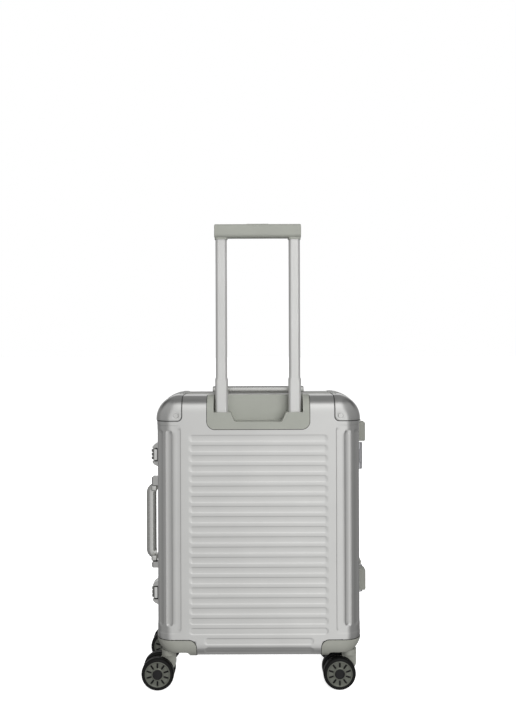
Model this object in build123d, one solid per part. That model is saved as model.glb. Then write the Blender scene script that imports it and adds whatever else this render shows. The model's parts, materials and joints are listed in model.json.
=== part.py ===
"""Hard shell cabin suitcase: two framed aluminium halves on four twin-wheel casters, with a two-stage trolley."""
from build123d import *
import os

# ---- case body, in a frame with X across, Y from the trolley face to the front, Z up ----
CASE_X = 7.0  # the case's middle stands this far from the middle of the overall box
WIDTH = 370.6
LOW, TOP = 60.0, 533.5
HALF_DEPTH = 100.0
CORNER_R = 42.0
EDGE_R = 28.0
WALL = 1.2
SIDE = WIDTH / 2

# ---- frame round the seam at y = 0 ----
LIP, WEB_IN, FRAME_DEEP = 2.2, 4.2, 14.0
BACK_RIM, FRONT_RIM = -1.0, 0.5
SLOT_END = 4.0
SEAL_OUT, SEAL_IN, SEAL_DEEP, SEAL_FACE = 0.8, 3.4, 3.0, 0.1

# ---- trolley ----
TUBE_X, TUBE_Y = 66.3, -87.0
INNER_TUBE, MIDDLE_TUBE, OUTER_TUBE = (20.5, 14.5), (23.1, 17.1), (25.7, 19.7)
TUBE_WALL, INNER_WALL = 1.0, 1.2
TUBE_R = 5.0
OUTER_LOW, POCKET_FLOOR, FOOT_BRACKET_Y = 82.0, 504.5, -76.0
MIDDLE_LOW, MIDDLE_TOP = 165.0, 565.3
INNER_LOW, INNER_TOP = 506.0, 824.0
GRIP_HALF, GRIP_LOW, GRIP_COLLAR, GRIP_TOP = 78.4, 819.3, 817.0, 844.3
GRIP_DEPTH = 25.0
BUTTON_HALF, BUTTON_DEPTH, BUTTON_TOP = 20.0, 11.0, 845.0
BUTTON_GAP, BUTTON_LOW, BUTTON_WELL = 0.35, 836.6, 833.0
GRIP_R, GRIP_END_R, COLLAR = 7.0, 2.0, (2.6, 3.6)
BAR_CHANNEL, CHANNEL_TOP = (5.0, 4.5), 834.0
BAR_HALF_Y, BAR_LOW, BAR_TOP, POST_HALF = 3.0, 830.0, 833.4, 10.0
ROD_R, ROD_LOW, ROD_TOP = 2.5, 518.0, 832.0
FOOT_WEB, FOOT_WEB_TOP, SOCKET_IN, SOCKET_OUT, SOCKET_TOP = 86.0, 74.0, 50.0, 83.0, 98.0

# ---- trolley housing ----
FLANGE = 1.2
HOUSING_HALF, HOUSING_LOW, HOUSING_BACK = 92.5, 473.9, -62.0
POCKET_HALF, POCKET_Y = 80.5, -69.0
BLOCK_HALF, BLOCK_LOW, BLOCK_Y = 83.0, 484.5, -66.0
RECESS_FLOOR, RECESS_TOP_HALF, RECESS_LOW_HALF = 487.5, 50.8, 42.5

# ---- corner guards and rivets ----
GUARD_X, GUARD_Z, GUARD_R = 138.0, 489.0, 8.0
RIVET_X, RIVET_Z, RIVET_R, RIVET_HEAD = 148.6, 498.5, 4.5, 0.8
RIVET_SHANK_R, RIVET_TAIL_R, RIVET_TAIL, RIVET_SIDE_Y = 2.0, 3.2, 1.0, -40.0
SIDE_RIVET_Z, ROOF_RIVET_X = 499.0, 142.0

# ---- wheel housings and casters ----
WELL_X0, WELL_TOP, WELL_PROUD, WELL_Y = 113.0, 94.0, 1.2, -42.0
WELL_WALL, WELL_CEILING, WELL_R = 2.5, 70.0, 14.0
ARCH_FOOT, ARCH_TOP, ARCH_R, ARCH_Y = 8.0, 15.0, 6.0, -45.0
SWIVEL_X, SWIVEL_Y, TRAIL = 165.0, 70.0, 19.0
SWIVEL_PIN_R, BOSS_R, BOSS_TOP = 5.0, 9.0, 82.0
PIN_GAP = 0.06
WHEEL_R, HUB_R, CAP_R, AXLE_R = 29.5, 23.3, 9.2, 3.0
WHEEL_IN, WHEEL_OUT = 7.0, 23.5
BLADE_HALF, BLADE_IN, NECK_LOW = 5.5, 0.6, 56.0
HEAD_R, HEAD_LOW, HEAD_TOP = 13.2, 59.4, 69.7
PIN_LOW, PIN_HEAD_R, PIN_HEAD = 48.0, 7.5, 2.0
SPOKE_SLOTS, SLOT_R, SLOT_LONG, SLOT_WIDE = 10, 16.3, 8.2, 2.4
TYRE_EDGE_R, HUB_GAP = 4.2, 0.2

# ---- hinges, feet, latches, handles ----
HINGE_X, HINGE_R, HINGE_PIN_R, HINGE_HALF = 194.8, 4.2, 1.9, 25.5
HINGE_Z = (413.0, 178.0)
KNUCKLE, KNUCKLE_GAP = 12.8, 0.4
LEAF, LEAF_Y0, LEAF_Y1, WEB_Y0, WEB_Y1 = 2.0, -13.5, -5.0, -5.6, -1.6
FOOT_X, FOOT_Y0, FOOT_Y1, FOOT_R = 199.5, -46.0, -22.0, 3.0
FEET_Z = ((446.0, 481.5), (168.0, 206.6))
LATCH_Z = {"upper_latch": 419.5, "lower_latch": 159.5}
LATCH_HALF, EAR_IN = 23.0, 12.7
LATCH_PLATE_X, LATCH_Y, LATCH_EDGE = -189.3, -30.0, 1.0
EAR_PROFILE = ((-188.3, 0.0), (-188.3, 10.3), (-196.3, 6.3), (-199.9, 2.3), (-199.9, 0.0))
EAR_Y0, EAR_Y1, SPINDLE_END = -29.0, -2.4, 1.0
LEVER_X, LEVER_Y, LEVER_PIN_R = -194.0, -7.0, 1.5
LEVER_NEAR, LEVER_FAR, LEVER_HALF, LEVER_TIP_Y, LEVER_R, LEVER_GAP = 3.0, 7.0, 3.4, 13.4, 1.6, 0.4
STRIKE_X, STRIKE_Y0, STRIKE_Y1, STRIKE_HALF, STRIKE_R = -196.5, 2.4, 12.0, 10.5, 1.2
DIAL_X, DIAL_Y, DIAL_R, DIAL_H, DIAL_PITCH, SPINDLE_R = -196.6, -21.0, 5.6, 5.2, 7.0, 1.5
SIDE_GRIP_Z = (220.0, 364.0)
SIDE_BRACKET_Z = (209.5, 380.0)
SIDE_PIVOT_X, SIDE_PIVOT_Y, SIDE_PIN_R = -195.0, -33.0, 2.5
SIDE_BLOCK_X, SIDE_BLOCK_HALF, SIDE_BLOCK_R = -200.3, 8.0, 3.4
# side grip: (x, distance in from the grip's end), from the inner face round to the outer face
SIDE_GRIP_END = ((-193.0, 4.0), (-199.0, 0.0), (-204.0, 3.0), (-212.8, 14.0), (-213.2, 22.0))
SIDE_GRIP_Y, SIDE_GRIP_R = (-20.0, -4.0), 3.0
SIDE_ARM_X, SIDE_ARM_Y, SIDE_ARM, SIDE_KNUCKLE_R = (-200.0, -190.4), -12.0, (1.0, 12.0), 4.8
SIDE_PIN_LONG, SIDE_GAP = (8.0, 10.0), 0.6
TOP_HALF, TOP_BLOCK_X, TOP_BLOCK_HALF, TOP_BLOCK_R, TOP_BLOCK_RISE = 84.6, 72.0, 8.0, 3.0, 5.2
TOP_ARM_X, TOP_ARM_HALF, TOP_PIN_X, TOP_PIN_LONG = (60.0, 71.6), 4.6, 74.0, 12.0
TOP_BAR_R, TOP_END_R = 4.6, 2.0
TOP_PIVOT_Y, TOP_PIVOT_Z, TOP_PIN_R = -25.0, 542.3, 2.5
TOP_BAR_Y, TOP_BAR_Z = (-52.0, -38.0), (537.7, 549.0)

# ---- lining ----
LINING_GAP, LINING = 2.6, 1.0
LINING_PANEL_Y, LINING_RIM_Y = -75.5, -15.0
LINING_POCKET = (86.0, -63.0, 481.0)  # half width, depth and floor of the rise over the trolley housing
LINING_WELL = (110.0, -39.0, 97.0)  # inner side, depth and roof of the rise over a wheel housing


def box(x0, x1, y0, y1, z0, z1):
    """Box from its six limits."""
    middle = ((x0 + x1) / 2, (y0 + y1) / 2, (z0 + z1) / 2)
    return Pos(*middle) * Box(abs(x1 - x0), abs(y1 - y0), abs(z1 - z0))


def along_y(sketch, y0, y1):
    """Sketch drawn in X and Z, extruded from y0 to y1."""
    plane = Plane(origin=(0, y1, 0), x_dir=(1, 0, 0), z_dir=(0, -1, 0))
    return extrude(plane * sketch, amount=y1 - y0)


def rounded_face(points, radii):
    """Face with straight sides and round corners, one radius for each point."""
    return make_face(FilletPolyline(*points, radius=radii, close=True).edges())


def rod(axis, centre, radius, length):
    """Round bar with its middle at centre, along the named axis."""
    turn = {"x": Rot(0, 90, 0), "y": Rot(90, 0, 0), "z": Rot(0, 0, 0)}[axis]
    return Pos(*centre) * turn * Cylinder(radius, length)


def both_sides(shape):
    """The shape and its mirror image across the case's middle."""
    return [shape, mirror(shape, about=Plane.YZ)]


def to_front(shapes):
    """Mirror images of back half pieces, for the front half."""
    return [mirror(shape, about=Plane.XZ) for shape in shapes]


def outline(offset):
    """Front view of the case grown by offset."""
    width, height = WIDTH + 2 * offset, TOP - LOW + 2 * offset
    return Pos(0, (LOW + TOP) / 2) * RectangleRounded(width, height, CORNER_R + offset)


def half_body(offset, rim_y):
    """Solid of the back half out to its skin grown by offset, cut flat at rim_y."""
    block = along_y(outline(offset), -HALF_DEPTH - offset, rim_y)
    return fillet(block.faces().sort_by(Axis.Y)[0].edges(), EDGE_R + offset)


def skin(inner, outer, region):
    """Sheet that lies over the back half between two offsets, inside a region."""
    return (half_body(outer, 0) & region) - half_body(inner, 1)


def well_cut():
    """Region of a bottom corner that the shell leaves to the wheel housing."""
    return box(WELL_X0 + WELL_WALL, SIDE + 9, -HALF_DEPTH - 9, WELL_Y - WELL_WALL, LOW - 9, WELL_TOP - 2)


def rivets():
    """Guard rivets of one half: one on the face, one on the side and one on top, at each top corner."""
    found = []
    for way in (-1, 1):
        face = -HALF_DEPTH - FLANGE
        side, roof = SIDE + FLANGE, TOP + FLANGE
        spots = (("y", (way * RIVET_X, face, RIVET_Z), (0, 1, 0)),
                 ("x", (way * side, RIVET_SIDE_Y, SIDE_RIVET_Z), (-way, 0, 0)),
                 ("z", (way * ROOF_RIVET_X, RIVET_SIDE_Y, roof), (0, 0, -1)))
        for axis, spot, inward in spots:
            place = Vector(*spot)
            way_in = Vector(*inward)
            head = rod(axis, place - way_in * RIVET_HEAD / 2, RIVET_R, RIVET_HEAD)
            shank = rod(axis, place + way_in * (FLANGE + WALL) / 2, RIVET_SHANK_R, FLANGE + WALL)
            tail = rod(axis, place + way_in * (FLANGE + WALL + RIVET_TAIL / 2), RIVET_TAIL_R, RIVET_TAIL)
            found.append(head + shank + tail)
    return found


def shell(rivet_group):
    """Pressed sheet of one half, with its bottom corners cut for the wheel housings."""
    body = half_body(0, -SLOT_END) - half_body(-WALL, 0)
    body -= both_sides(well_cut())
    return body - rivet_group


def frame(rim_y):
    """Extruded rim of one half, with a slot that grips the edge of the shell."""
    profile = along_y(outline(LIP) - outline(-WEB_IN), -FRAME_DEEP, rim_y)
    slot = along_y(outline(0) - outline(-WALL), -FRAME_DEEP, -SLOT_END)
    return profile - slot


def seal_groove(face_y):
    """Ring of the rubber seal, up to face_y."""
    return along_y(outline(-SEAL_OUT) - outline(-SEAL_IN), -SEAL_DEEP, face_y)


def guards(rivet_group):
    """Riveted sheet corners over the two top corners of one half."""
    points = [(GUARD_X, GUARD_Z), (SIDE + 9, GUARD_Z), (SIDE + 9, TOP + 9), (GUARD_X, TOP + 9)]
    region = along_y(rounded_face(points, [GUARD_R, 0, 0, 0]), -HALF_DEPTH - 9, -FRAME_DEEP - 0.4)
    return [piece - rivet_group for piece in both_sides(skin(0, FLANGE, region))]


def well_block(inset, floor, top):
    """Bottom corner block under the rounded form of the case, drawn in by inset."""
    points = [(WELL_X0 + inset, floor), (SIDE + 9, floor), (SIDE + 9, top), (WELL_X0 + inset, top)]
    front = rounded_face(points, [0, 0, 0, 0 if inset else WELL_R])
    return along_y(front, -HALF_DEPTH - 9, WELL_Y - inset) & half_body(WELL_PROUD - inset, 0)


def wheel_housing(shell_solid):
    """Moulded tray that closes a bottom corner, arched over the caster, with a boss for the swivel pin."""
    block = well_block(0, LOW - 9, WELL_TOP)
    inside = well_block(WELL_WALL, WELL_CEILING + WELL_WALL, WELL_TOP + 9)
    arch = [(WELL_X0 + ARCH_FOOT, LOW - 9), (SIDE + 9, LOW - 9), (SIDE + 9, WELL_CEILING),
            (WELL_X0 + ARCH_TOP, WELL_CEILING)]
    under = along_y(rounded_face(arch, [0, 0, 0, ARCH_R]), -HALF_DEPTH - 9, ARCH_Y)
    middle_z = (WELL_CEILING + BOSS_TOP) / 2
    boss = rod("z", (SWIVEL_X, -SWIVEL_Y, middle_z), BOSS_R, BOSS_TOP - WELL_CEILING)
    bore = rod("z", (SWIVEL_X, -SWIVEL_Y, middle_z), SWIVEL_PIN_R + PIN_GAP, 40)
    tray = (block - inside - under) + boss
    return (tray - bore) - shell_solid


def trolley_housing():
    """Moulded panel with the pocket that the trolley grip sinks into."""
    points = [(-HOUSING_HALF, HOUSING_LOW), (HOUSING_HALF, HOUSING_LOW),
              (HOUSING_HALF, TOP + 9), (-HOUSING_HALF, TOP + 9)]
    region = along_y(rounded_face(points, [14, 14, 0, 0]), -HALF_DEPTH - 9, HOUSING_BACK)
    flange = skin(0, FLANGE, region)
    block = half_body(0, 0) & box(-BLOCK_HALF, BLOCK_HALF, -HALF_DEPTH - 1, BLOCK_Y, BLOCK_LOW, TOP + 9)
    pocket = box(-POCKET_HALF, POCKET_HALF, -HALF_DEPTH - 9, POCKET_Y, POCKET_FLOOR, TOP + 9)
    finger = [(-RECESS_LOW_HALF, RECESS_FLOOR), (RECESS_LOW_HALF, RECESS_FLOOR),
              (RECESS_TOP_HALF, POCKET_FLOOR + 1), (-RECESS_TOP_HALF, POCKET_FLOOR + 1)]
    recess = along_y(rounded_face(finger, [4, 4, 0, 0]), -HALF_DEPTH - 9, POCKET_Y)
    body = flange + block - pocket - recess
    for way in (-1, 1):
        body -= tube_block(way, OUTER_TUBE, BLOCK_LOW - 9, POCKET_FLOOR + 9)
    return body


def tube_block(way, size, low, high):
    """Solid bar with the rounded section of a trolley tube."""
    section = RectangleRounded(size[0], size[1], TUBE_R)
    return extrude(Pos(way * TUBE_X, TUBE_Y, low) * section, amount=high - low)


def tubes(size, wall, low, high):
    """Pair of trolley tubes."""
    bore = (size[0] - 2 * wall, size[1] - 2 * wall)
    pair = []
    for way in (-1, 1):
        section = RectangleRounded(size[0], size[1], TUBE_R) - RectangleRounded(bore[0], bore[1], TUBE_R - wall)
        pair.append(extrude(Pos(way * TUBE_X, TUBE_Y, low) * section, amount=high - low))
    return pair


def trolley_foot():
    """Moulded bracket that holds the lower ends of the outer tubes to the shell."""
    room = half_body(-WALL, 0)
    block = box(-FOOT_WEB, FOOT_WEB, -HALF_DEPTH, FOOT_BRACKET_Y, LOW, FOOT_WEB_TOP) & room
    for way in (-1, 1):
        block += box(way * SOCKET_IN, way * SOCKET_OUT, -HALF_DEPTH, FOOT_BRACKET_Y, LOW, SOCKET_TOP) & room
        block -= tube_block(way, OUTER_TUBE, OUTER_LOW, 120)
    return block


def trolley_grip():
    """Moulded grip with sockets for the tubes, a slot for the button and a channel for its crossbar."""
    profile = RectangleRounded(GRIP_DEPTH, GRIP_TOP - GRIP_LOW, GRIP_R)
    plane = Plane(origin=(-GRIP_HALF, TUBE_Y, (GRIP_TOP + GRIP_LOW) / 2), x_dir=(0, 1, 0), z_dir=(1, 0, 0))
    bar = extrude(plane * profile, amount=2 * GRIP_HALF)
    bar = fillet(bar.faces().sort_by(Axis.X)[0].edges() + bar.faces().sort_by(Axis.X)[-1].edges(), GRIP_END_R)
    for way in (-1, 1):
        bar += tube_block(way, (INNER_TUBE[0] + COLLAR[0], INNER_TUBE[1] + COLLAR[1]), GRIP_COLLAR, GRIP_LOW + 6)
        bar -= tube_block(way, INNER_TUBE, GRIP_COLLAR - 1, INNER_TOP)
    long, deep = TUBE_X + BAR_CHANNEL[0], BAR_CHANNEL[1]
    bar -= box(-long, long, TUBE_Y - deep, TUBE_Y + deep, INNER_TOP, CHANNEL_TOP)
    for way in (-1, 1):
        bar -= tube_block(way, (INNER_TUBE[0] - 4, INNER_TUBE[1] - 4), INNER_TOP - 1, INNER_TOP + 3)
    half, deep = BUTTON_HALF + BUTTON_GAP, BUTTON_DEPTH / 2 + BUTTON_GAP
    return bar - box(-half, half, TUBE_Y - deep, TUBE_Y + deep, BUTTON_WELL, GRIP_TOP + 9)


def release_button():
    """Push button in the top of the grip."""
    deep = BUTTON_DEPTH / 2
    block = box(-BUTTON_HALF, BUTTON_HALF, TUBE_Y - deep, TUBE_Y + deep, BUTTON_LOW, BUTTON_TOP)
    return fillet(block.edges().filter_by(Axis.Z), 2)


def release_rods():
    """Crossbar under the button with a push rod down each inner tube."""
    low_y, high_y = TUBE_Y - BAR_HALF_Y, TUBE_Y + BAR_HALF_Y
    bar = box(-TUBE_X, TUBE_X, low_y, high_y, BAR_LOW, BAR_TOP)
    post = box(-POST_HALF, POST_HALF, low_y, high_y, BAR_TOP, BUTTON_LOW)
    rods = [rod("z", (way * TUBE_X, TUBE_Y, (ROD_LOW + ROD_TOP) / 2), ROD_R, ROD_TOP - ROD_LOW)
            for way in (-1, 1)]
    return bar + post + rods


def side_feet():
    """Moulded feet that the case stands on when it lies on its hinge side."""
    feet = []
    for z0, z1 in FEET_Z:
        foot = box(SIDE, FOOT_X, FOOT_Y0, FOOT_Y1, z0, z1)
        foot = fillet(foot.faces().sort_by(Axis.X)[-1].edges(), FOOT_R)
        feet.append(foot)
    return feet


def hinge_leaf(z, front):
    """Leaf riveted on a frame lip: outer knuckles on the back half, the middle knuckle on the front half."""
    half = KNUCKLE - KNUCKLE_GAP
    spans = [(-half, half)] if front else [(-HINGE_HALF, -KNUCKLE), (KNUCKLE, HINGE_HALF)]
    bore = HINGE_PIN_R + PIN_GAP if front else HINGE_PIN_R
    lip = SIDE + LIP
    leaf = box(lip, lip + LEAF, LEAF_Y0, LEAF_Y1, z - HINGE_HALF, z + HINGE_HALF)
    for low, high in spans:
        web = box(lip + LEAF / 5, HINGE_X, WEB_Y0, WEB_Y1, z + low, z + high)
        plate = box(lip, lip + LEAF, LEAF_Y0, WEB_Y1, z + low, z + high)
        leaf += [web, plate, rod("z", (HINGE_X, 0, z + (low + high) / 2), HINGE_R, high - low)]
    return leaf - rod("z", (HINGE_X, 0, z), bore, 90)


def hinge_pin(z):
    """Hinge pin, pressed into the outer knuckles."""
    return rod("z", (HINGE_X, 0, z), HINGE_PIN_R, 2 * HINGE_HALF)


def latch_base(z):
    """Latch body on the back half: base plate, two ears, dial spindle and cheeks."""
    low, high = z - LATCH_HALF, z + LATCH_HALF
    body = box(-SIDE, LATCH_PLATE_X, LATCH_Y, -FRAME_DEEP, low, high)
    body += box(-SIDE - LIP, LATCH_PLATE_X, -FRAME_DEEP, BACK_RIM - LATCH_EDGE, low, high)
    for way in (-1, 1):
        profile = Pos(0, EAR_IN) * make_face(Polyline(*EAR_PROFILE, close=True).edges())
        ear = along_y(profile, EAR_Y0, EAR_Y1)
        body += Pos(0, 0, z) * (ear if way > 0 else mirror(ear, about=Plane.XY))
    long = 2 * (EAR_IN + SPINDLE_END)
    body += rod("z", (DIAL_X, DIAL_Y, z), SPINDLE_R, long)
    return body + rod("z", (LEVER_X, LEVER_Y, z), LEVER_PIN_R, long)


def latch_lever(z):
    """Lever that swings out round a pin between the ears and closes over the strike."""
    half = EAR_IN - LEVER_GAP
    near, far = LEVER_X - LEVER_NEAR, LEVER_X - LEVER_FAR
    plate = box(near, far, LEVER_Y - LEVER_HALF, LEVER_TIP_Y, z - half, z + half)
    plate = fillet(plate.edges().filter_by(Axis.Z).group_by(Axis.X)[0], LEVER_R)
    knuckle = rod("z", (LEVER_X, LEVER_Y, z), LEVER_HALF, 2 * half)
    neck = box(LEVER_X, near - 1, LEVER_Y - LEVER_HALF, LEVER_Y + LEVER_HALF, z - half, z + half)
    return plate + knuckle + neck - rod("z", (LEVER_X, LEVER_Y, z), LEVER_PIN_R + PIN_GAP, 90)


def latch_dials(z):
    """Three number wheels on the latch spindle."""
    wheels = []
    for k in (-1, 0, 1):
        wheel = rod("z", (DIAL_X, DIAL_Y, z + k * DIAL_PITCH), DIAL_R, DIAL_H)
        wheel -= rod("z", (DIAL_X, DIAL_Y, z), SPINDLE_R + PIN_GAP, 90)
        wheels.append(wheel)
    return wheels


def latch_strike(z):
    """Keeper on the front half's frame, under the closed lever."""
    block = box(-SIDE - LIP, STRIKE_X, STRIKE_Y0, STRIKE_Y1, z - STRIKE_HALF, z + STRIKE_HALF)
    return fillet(block.faces().sort_by(Axis.X)[0].edges(), STRIKE_R)


def side_handle_bracket(low, high):
    """Block on the latch side that holds one end of the side handle."""
    near, far = SIDE_PIVOT_Y - SIDE_BLOCK_HALF, SIDE_PIVOT_Y + SIDE_BLOCK_HALF
    block = box(-SIDE, SIDE_BLOCK_X, near, far, low, high)
    block = fillet(block.faces().sort_by(Axis.X)[0].edges(), SIDE_BLOCK_R)
    return block - rod("z", (SIDE_PIVOT_X, SIDE_PIVOT_Y, (low + high) / 2), SIDE_PIN_R + PIN_GAP, 60)


def side_handle_grip():
    """Bail with a padded bar that turns on pins in the two brackets."""
    z0, z1 = SIDE_GRIP_Z
    points = [(x, z1 - inward) for x, inward in SIDE_GRIP_END]
    points += [(x, z0 + inward) for x, inward in reversed(SIDE_GRIP_END)]
    bar = along_y(make_face(Polyline(*points, close=True).edges()), *SIDE_GRIP_Y)
    bar = fillet(bar.edges().filter_by(Axis.Z), SIDE_GRIP_R)
    near, far = SIDE_ARM
    for low, high, reach in ((z0 + near, z0 + far, z0 - SIDE_PIN_LONG[0]),
                             (z1 - far, z1 - near, z1 + SIDE_PIN_LONG[1])):
        middle = (low + high) / 2
        arm = box(*SIDE_ARM_X, SIDE_PIVOT_Y, SIDE_ARM_Y, low, high)
        knuckle = rod("z", (SIDE_PIVOT_X, SIDE_PIVOT_Y, middle), SIDE_KNUCKLE_R, high - low)
        pin = rod("z", (SIDE_PIVOT_X, SIDE_PIVOT_Y, (reach + middle) / 2), SIDE_PIN_R, abs(reach - middle))
        bar += [arm, knuckle, pin]
    return bar


def top_handle_bracket():
    """Block on top of the back half that holds one end of the top handle."""
    near, far = TOP_PIVOT_Y - TOP_BLOCK_HALF, TOP_PIVOT_Y + TOP_BLOCK_HALF
    block = box(TOP_BLOCK_X, TOP_HALF, near, far, TOP, TOP_PIVOT_Z + TOP_BLOCK_RISE)
    block = fillet(block.faces().sort_by(Axis.Z)[-1].edges(), TOP_BLOCK_R)
    return block - rod("x", (TOP_PIN_X, TOP_PIVOT_Y, TOP_PIVOT_Z), TOP_PIN_R + PIN_GAP, TOP_PIN_LONG + 2)


def top_handle_grip():
    """Bail that lies flat on top of the case and lifts on pins in the two brackets."""
    y0, y1 = TOP_BAR_Y
    z0, z1 = TOP_BAR_Z
    profile = Plane(origin=(-TOP_HALF, (y0 + y1) / 2, (z0 + z1) / 2), x_dir=(0, 1, 0), z_dir=(1, 0, 0))
    bar = extrude(profile * RectangleRounded(y1 - y0, z1 - z0, TOP_BAR_R), amount=2 * TOP_HALF)
    bar = fillet(bar.faces().sort_by(Axis.X)[0].edges() + bar.faces().sort_by(Axis.X)[-1].edges(), TOP_END_R)
    for way in (-1, 1):
        inner, outer = way * TOP_ARM_X[0], way * TOP_ARM_X[1]
        low, high = TOP_PIVOT_Z - TOP_ARM_HALF, TOP_PIVOT_Z + TOP_ARM_HALF
        arm = box(inner, outer, y1 - 5, TOP_PIVOT_Y, low, high)
        knuckle = rod("x", ((inner + outer) / 2, TOP_PIVOT_Y, TOP_PIVOT_Z), TOP_ARM_HALF, abs(outer - inner))
        pin = rod("x", (way * TOP_PIN_X, TOP_PIVOT_Y, TOP_PIVOT_Z), TOP_PIN_R, TOP_PIN_LONG)
        bar += [arm, knuckle, pin]
    return bar


def linings():
    """Thin fabric trays that line the two halves, raised over the housings."""
    def tray(grow, back):
        hollow = half_body(-LINING_GAP - grow, LINING_RIM_Y + (5 if grow else 0))
        if back:
            half, deep, floor = LINING_POCKET
            hollow &= box(-SIDE, SIDE, LINING_PANEL_Y + grow, 0, 0, TOP)
            hollow -= box(-half - grow, half + grow, -SIDE, deep + grow, floor - grow, TOP + 9)
        inner, deep, roof = LINING_WELL
        for way in (-1, 1):
            hollow -= box(way * (inner - grow), way * (SIDE + 9), -SIDE, deep + grow, 0, roof + grow)
        return hollow
    return [tray(0, back) - tray(LINING, back) for back in (True, False)]


def caster_fork(x, y):
    """Caster fork: round head under the housing and a blade between the two wheels."""
    head = rod("z", (x, y, (HEAD_LOW + HEAD_TOP) / 2), HEAD_R, HEAD_TOP - HEAD_LOW)
    axle_x, axle_z = x - TRAIL, WHEEL_R
    near, far = x - HEAD_R + BLADE_IN, x + HEAD_R - BLADE_IN
    points = [(near, HEAD_TOP - 1), (near, NECK_LOW), (axle_x - 9, 40), (axle_x - 9, axle_z - 6),
              (axle_x + 3, axle_z - 10), (x + 5, axle_z - 2), (far, 42), (far, HEAD_TOP - 1)]
    blade = along_y(rounded_face(points, [0, 8, 8, 6, 7, 9, 12, 0]), y - BLADE_HALF, y + BLADE_HALF)
    fork = head + blade
    fork -= rod("z", (x, y, (PIN_LOW + HEAD_TOP + 3) / 2), SWIVEL_PIN_R, HEAD_TOP + 3 - PIN_LOW)
    return fork - rod("y", (axle_x, y, axle_z), AXLE_R, 40)


def caster_pins(x, y):
    """Swivel pin with its retaining head, and the wheel axle."""
    top = BOSS_TOP + 1
    swivel = rod("z", (x, y, (PIN_LOW + top) / 2), SWIVEL_PIN_R, top - PIN_LOW)
    swivel += rod("z", (x, y, top + PIN_HEAD / 2), PIN_HEAD_R, PIN_HEAD)
    axle = rod("y", (x - TRAIL, y, WHEEL_R), AXLE_R, 2 * WHEEL_OUT - 6)
    return [swivel, axle]


def wheel_parts(x, y, way):
    """Hub with its cap, and tyre, of the wheel on one side of the blade."""
    spot = Pos(x - TRAIL, y, WHEEL_R) * Rot(-90 * way, 0, 0)
    low, high = WHEEL_IN + HUB_GAP, WHEEL_OUT - 3 * HUB_GAP
    hub = Pos(0, 0, (low + high) / 2) * Cylinder(HUB_R, high - low)
    hub -= Cylinder(AXLE_R + PIN_GAP, 80)
    hub -= Pos(0, 0, WHEEL_OUT - 1.1) * Cylinder(CAP_R, 3)
    for k in range(SPOKE_SLOTS):
        slot = Pos(SLOT_R, 0, high) * Box(SLOT_LONG, SLOT_WIDE, 3)
        hub -= Rot(0, 0, 90 + 360 * k / SPOKE_SLOTS) * slot
    cap = Pos(0, 0, WHEEL_OUT - 1.4) * Cylinder(CAP_R, 2.4)
    tyre = Pos(0, 0, (WHEEL_IN + WHEEL_OUT) / 2) * Cylinder(WHEEL_R, WHEEL_OUT - WHEEL_IN)
    tyre = fillet(tyre.edges(), TYRE_EDGE_R)
    tyre -= Cylinder(HUB_R, 80)
    return [spot * hub, spot * cap], spot * tyre


def build():
    """Every node by name, each a list of its solids."""
    rivet_group = rivets()
    plain = shell(rivet_group)
    opening = box(-BLOCK_HALF, BLOCK_HALF, -HALF_DEPTH - 9, BLOCK_Y, BLOCK_LOW, TOP + 9)
    handle_side = [side_handle_bracket(SIDE_BRACKET_Z[0], SIDE_GRIP_Z[0] + SIDE_GAP),
                   side_handle_bracket(SIDE_GRIP_Z[1] - SIDE_GAP, SIDE_BRACKET_Z[1])]
    housing = both_sides(wheel_housing(plain))
    back_lining, front_lining = linings()
    nodes = {
        "back_shell": plain - opening,
        "back_frame": frame(BACK_RIM) - seal_groove(BACK_RIM + 1),
        "frame_seal": seal_groove(SEAL_FACE),
        "trolley_housing": trolley_housing(),
        "trolley_outer_tubes": tubes(OUTER_TUBE, TUBE_WALL, OUTER_LOW, POCKET_FLOOR),
        "trolley_foot_bracket": trolley_foot(),
        "back_corner_guards": guards(rivet_group),
        "back_rivets": rivet_group,
        "back_wheel_housings": housing,
        "back_side_feet": side_feet(),
        "back_hinge_leaves": [hinge_leaf(z, False) for z in HINGE_Z],
        "hinge_pins": [hinge_pin(z) for z in HINGE_Z],
        "latch_bases": [latch_base(z) for z in LATCH_Z.values()],
        "side_handle_brackets": handle_side,
        "top_handle_brackets": both_sides(top_handle_bracket()),
        "back_lining": back_lining,
        "front_shell": to_front([plain]),
        "front_frame": to_front([frame(-FRONT_RIM)]),
        "front_corner_guards": to_front(guards(rivet_group)),
        "front_rivets": to_front(rivet_group),
        "front_wheel_housings": to_front(housing),
        "front_side_feet": to_front(side_feet()),
        "front_hinge_leaves": to_front([hinge_leaf(z, True) for z in HINGE_Z]),
        "latch_strikes": [latch_strike(z) for z in LATCH_Z.values()],
        "front_lining": to_front([front_lining]),
        "trolley_middle_tubes": tubes(MIDDLE_TUBE, TUBE_WALL, MIDDLE_LOW, MIDDLE_TOP),
        "trolley_inner_tubes": tubes(INNER_TUBE, INNER_WALL, INNER_LOW, INNER_TOP),
        "trolley_grip": trolley_grip(),
        "release_button": release_button(),
        "release_rods": release_rods(),
        "side_handle_grip": side_handle_grip(),
        "top_handle_grip": top_handle_grip(),
    }
    for name, z in LATCH_Z.items():
        nodes[name + "_lever"] = latch_lever(z)
        nodes[name + "_dials"] = latch_dials(z)
    for depth, way_y in (("back", -1), ("front", 1)):
        for hand, way_x in (("left", -1), ("right", 1)):
            name, x, y = f"{depth}_{hand}", way_x * SWIVEL_X, way_y * SWIVEL_Y
            nodes[name + "_fork"] = caster_fork(x, y)
            nodes[name + "_pins"] = caster_pins(x, y)
            for letter, way in (("a", -1), ("b", 1)):
                hub, tyre = wheel_parts(x, y, way)
                nodes[f"{name}_hub_{letter}"] = hub
                nodes[f"{name}_tyre_{letter}"] = tyre
    return nodes


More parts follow.
